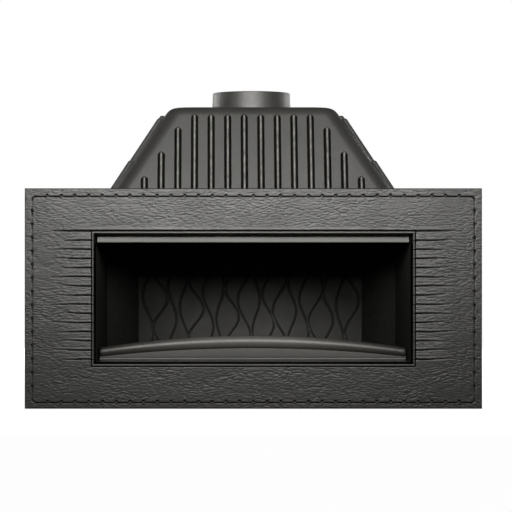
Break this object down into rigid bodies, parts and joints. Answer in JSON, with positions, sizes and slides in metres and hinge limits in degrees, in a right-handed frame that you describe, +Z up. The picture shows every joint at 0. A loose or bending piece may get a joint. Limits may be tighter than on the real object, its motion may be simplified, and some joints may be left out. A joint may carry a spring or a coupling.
{
  "type": "fireplace insert",
  "caption": "Open cast-iron fireplace insert with a wide stitched-leather-look facade, ribbed hood, round flue collar, arched log guard, lined firebox and flue damper.",
  "frame": {"origin": "on the floor under the middle of the whole insert's bounding box", "axes": "+Z up, the facade faces -Y, +X to the right seen from the front"},
  "size_m": [1, 0.4812, 0.708],
  "materials": {
    "facade_iron": "satin dark grey stove paint on a leather-like casting",
    "body_iron": "satin dark grey stove paint on sand-cast iron",
    "guard_iron": "smooth satin dark grey stove paint",
    "lining_iron": "matt dark grey stove paint",
    "steel": "black satin steel",
    "rope": "woven glass fibre seal"
  },
  "bodies": {
    "insert": {"facade": "facade_iron", "front_header": "body_iron", "front_apron": "body_iron", "back_wall": "body_iron", "hearth_plate": "body_iron", "ash_box": "body_iron", "lintel": "body_iron", "hood": "body_iron", "flue_collar": "body_iron", "fireback": "lining_iron", "collar_bolt_1": "steel", "collar_bolt_2": "steel", "collar_bolt_3": "steel", "hood_seal": "rope", "collar_gasket": "rope", "side_wall_left": "body_iron", "side_liner_left": "lining_iron", "cheek_left": "lining_iron", "fireback_clip_left": "steel", "facade_bracket_lower_left": "steel", "facade_bracket_upper_left": "steel", "foot_front_left": "body_iron", "tie_rod_front_left": "steel", "foot_back_left": "body_iron", "tie_rod_back_left": "steel", "side_wall_right": "body_iron", "side_liner_right": "lining_iron", "cheek_right": "lining_iron", "fireback_clip_right": "steel", "facade_bracket_lower_right": "steel", "facade_bracket_upper_right": "steel", "foot_front_right": "body_iron", "tie_rod_front_right": "steel", "foot_back_right": "body_iron", "tie_rod_back_right": "steel"},
    "damper": {"damper_flap": "body_iron", "damper_spindle": "steel", "damper_crank": "steel"},
    "damper_rod": {"damper_pull_rod": "steel"},
    "guard": {"log_guard": "guard_iron"},
    "grate": {"fire_grate": "lining_iron"},
    "pan": {"ash_pan": "steel"}
  },
  "joints": [
    {"name": "damper_turn", "type": "hinge", "parent": "insert", "child": "damper", "pos_m": [0, 0.00815, 0.6195], "axis": [1, 0, 0], "range_deg": [0, 80]},
    {"name": "pull_rod_swing", "type": "hinge", "parent": "damper", "child": "damper_rod", "pos_m": [0.1163, -0.02632, 0.64843], "axis": [1, 0, 0], "range_deg": [-80, 0]},
    {"name": "guard_lift", "type": "slide", "parent": "insert", "child": "guard", "axis": [0, 0, 1], "range_m": [0, 0.09]},
    {"name": "grate_lift", "type": "slide", "parent": "insert", "child": "grate", "axis": [0, 0, 1], "range_m": [0, 0.2]},
    {"name": "pan_lift", "type": "slide", "parent": "insert", "child": "pan", "axis": [0, 0, 1], "range_m": [0, 0.1]}
  ],
  "couplings": [
    {"joint": "pull_rod_swing", "follows": "damper_turn", "ratio": -1},
    {"joint": "pan_lift", "follows": "grate_lift", "ratio": 0.5}
  ]
}
